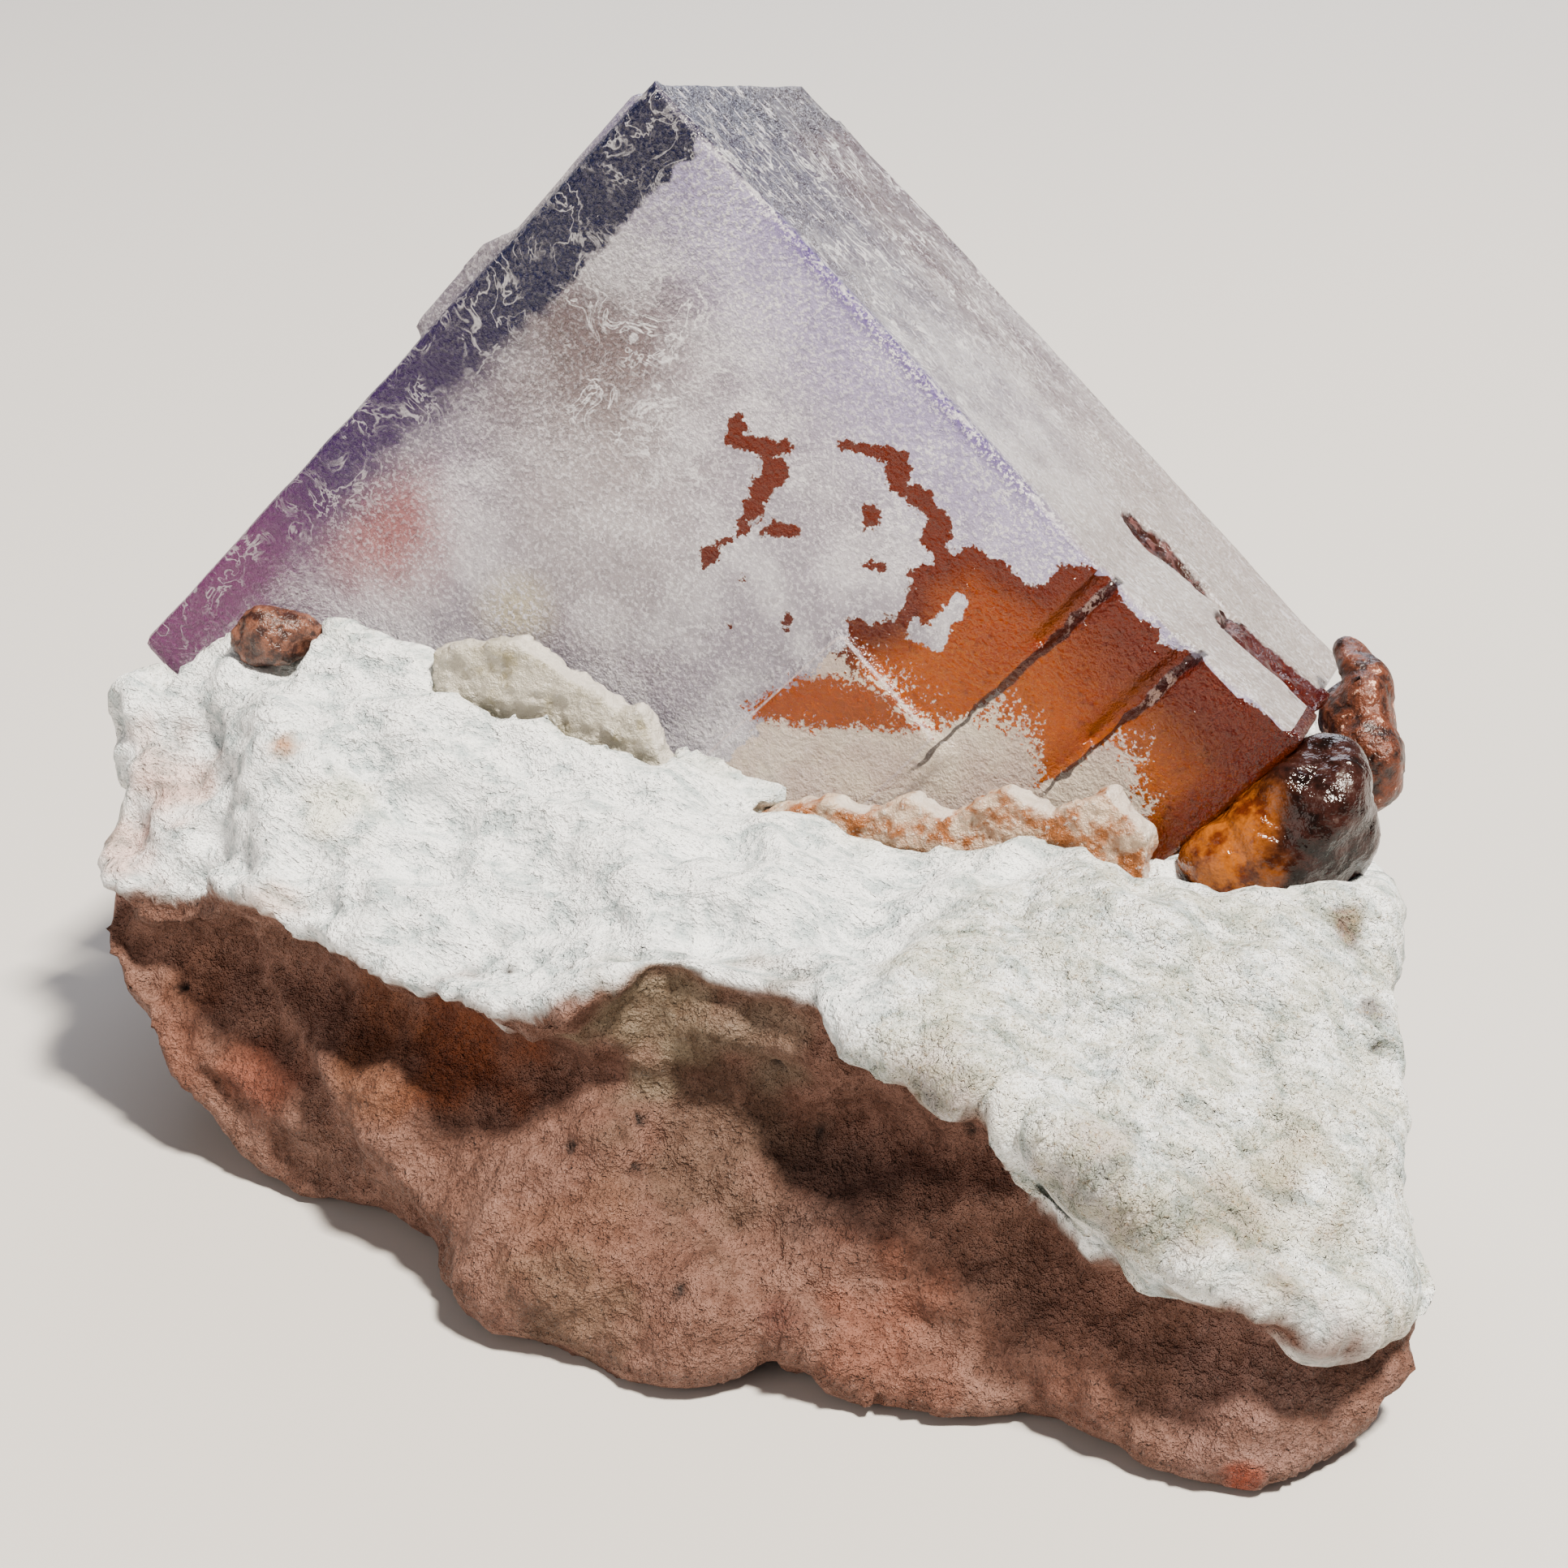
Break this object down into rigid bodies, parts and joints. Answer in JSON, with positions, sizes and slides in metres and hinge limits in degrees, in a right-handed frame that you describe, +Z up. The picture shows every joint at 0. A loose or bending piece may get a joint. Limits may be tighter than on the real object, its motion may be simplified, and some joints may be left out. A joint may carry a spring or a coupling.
{
  "type": "fluorite crystal on matrix",
  "caption": "Cube-shaped purple and clear fluorite crystal standing on a corner, half sunk in a pale lump of rock that rests on a flat base.",
  "frame": {"origin": "the middle of the underside of the whole specimen's box", "axes": "+Z is up from the flat resting face, -Y is the side that the crystal's large face looks toward, +X is to the right in that view"},
  "size_m": [0.035, 0.0352, 0.027],
  "materials": {
    "fluorite": "clear to frosted, purple along one side, stained red-brown at the lower right",
    "rock": "chalky white on top, pink-beige and dull underneath",
    "pale_rind": "translucent, slightly glossy crust",
    "stained_rind": "translucent crust with an orange stain",
    "dark_mineral": "glassy, brown-black",
    "rusty_mineral": "coppery iron coating with bright chips",
    "brown_mineral": "dull brown with small glints"
  },
  "bodies": {
    "root": {"fluorite_crystal": "fluorite", "matrix": "rock", "left_rind": "pale_rind", "right_rind": "stained_rind", "dark_grain": "dark_mineral", "rusty_grain": "rusty_mineral", "brown_grain": "brown_mineral"}
  },
  "joints": []
}
